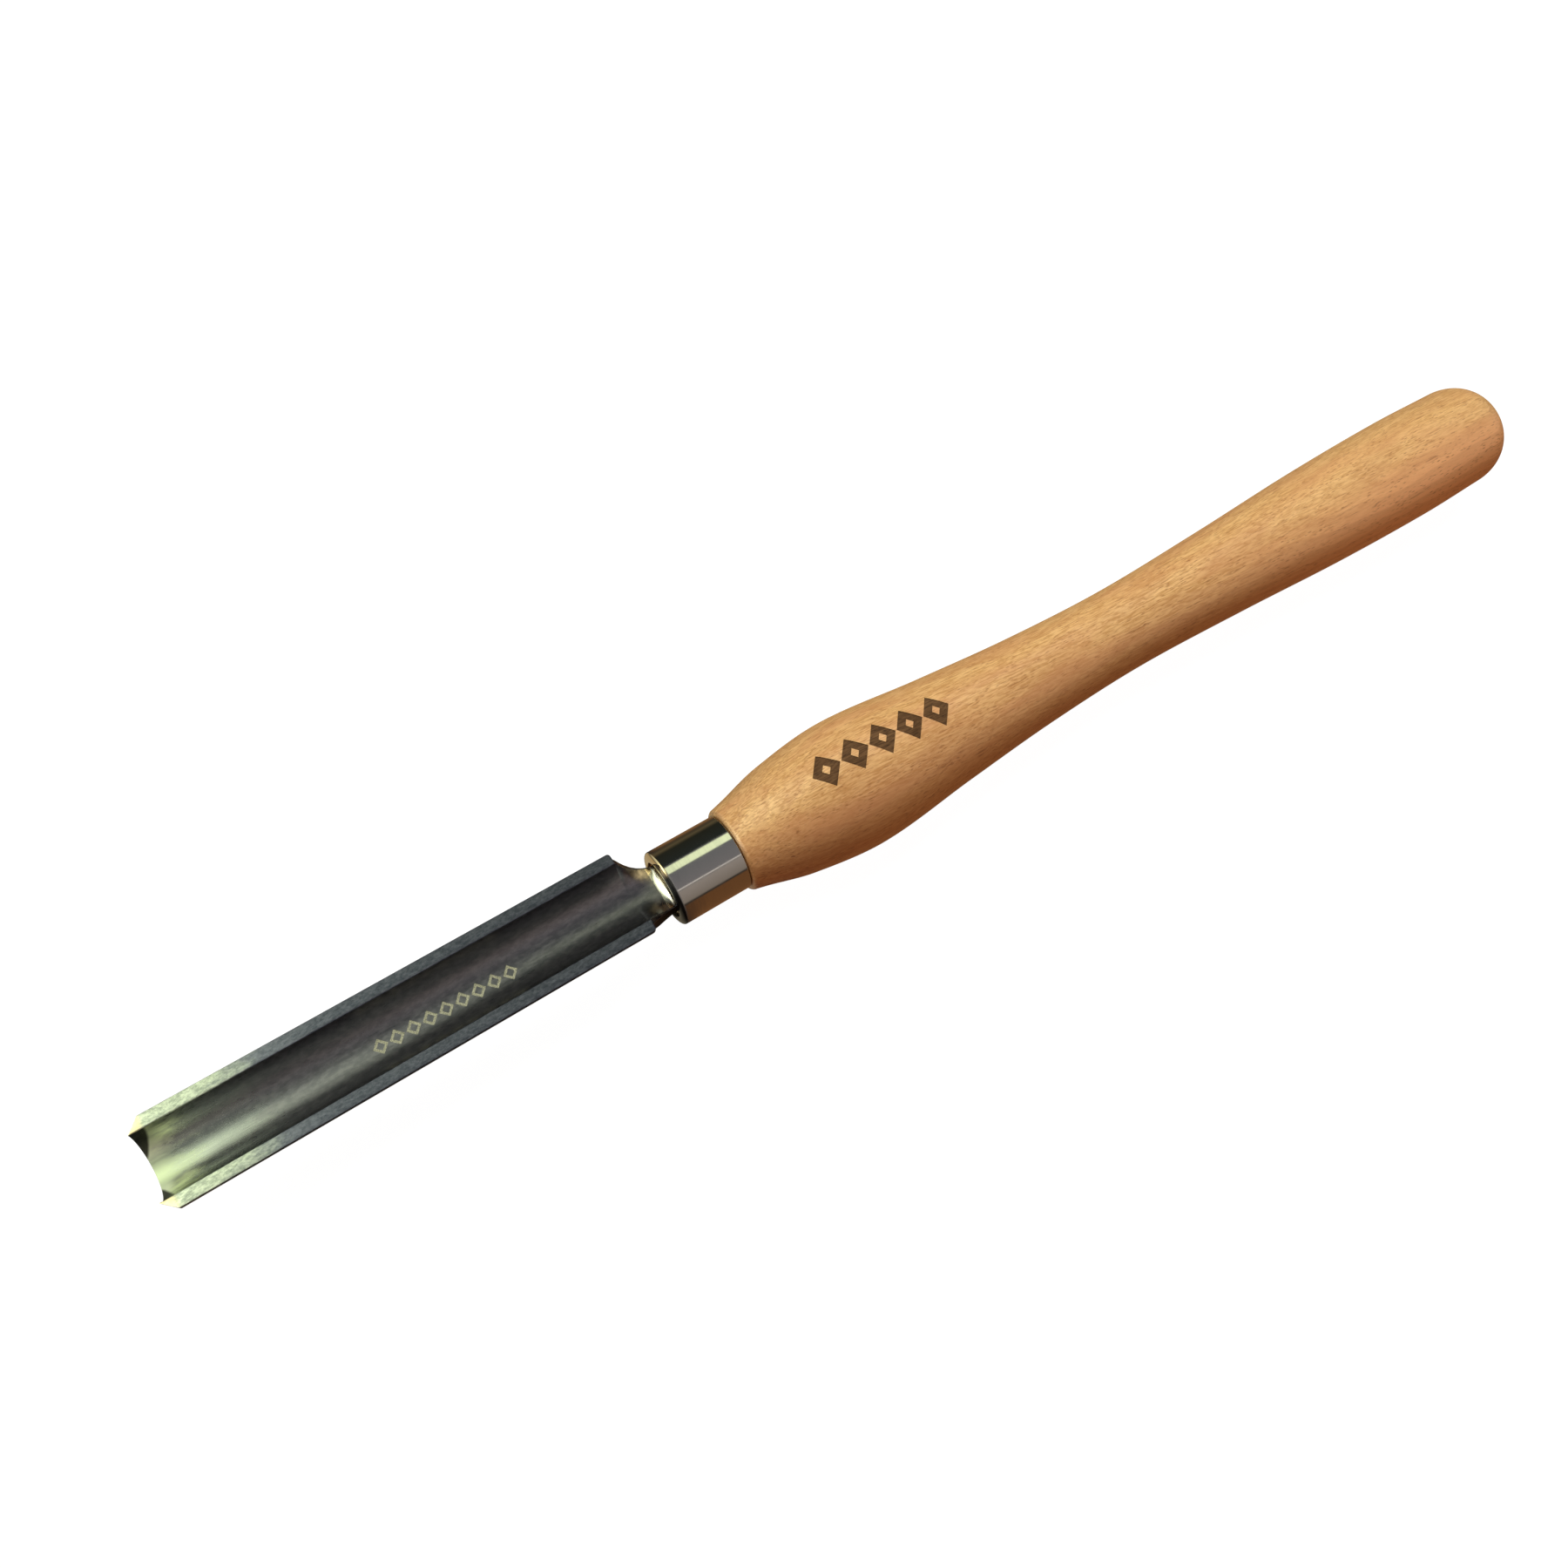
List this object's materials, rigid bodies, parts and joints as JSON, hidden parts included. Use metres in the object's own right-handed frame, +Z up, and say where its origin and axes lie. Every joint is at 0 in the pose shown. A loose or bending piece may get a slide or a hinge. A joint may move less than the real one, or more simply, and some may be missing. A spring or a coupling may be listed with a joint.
{
  "type": "spindle roughing gouge",
  "caption": "Woodturner's roughing gouge: long U-section steel blade with a square-ground edge, polished ferrule and shaped beech handle.",
  "frame": {"origin": "centre of the tool's plan outline, at the level of the lowest point of the handle's bulge", "axes": "+X along the tool from the cutting edge towards the handle's tail, +Z up out of the open flute, +Y across the blade"},
  "size_m": [0.476, 0.0398, 0.0398],
  "materials": {
    "blade_steel": "dark forged and hardened high-speed steel, semi-matt scale, paler towards the ground edge",
    "ferrule_plate": "polished",
    "beech": "oiled and polished beech with short dark flecks",
    "adhesive": "cured epoxy"
  },
  "bodies": {
    "root": {"gouge_blade": "blade_steel", "ferrule": "ferrule_plate", "handle": "beech", "tang_bedding": "adhesive"}
  },
  "joints": []
}
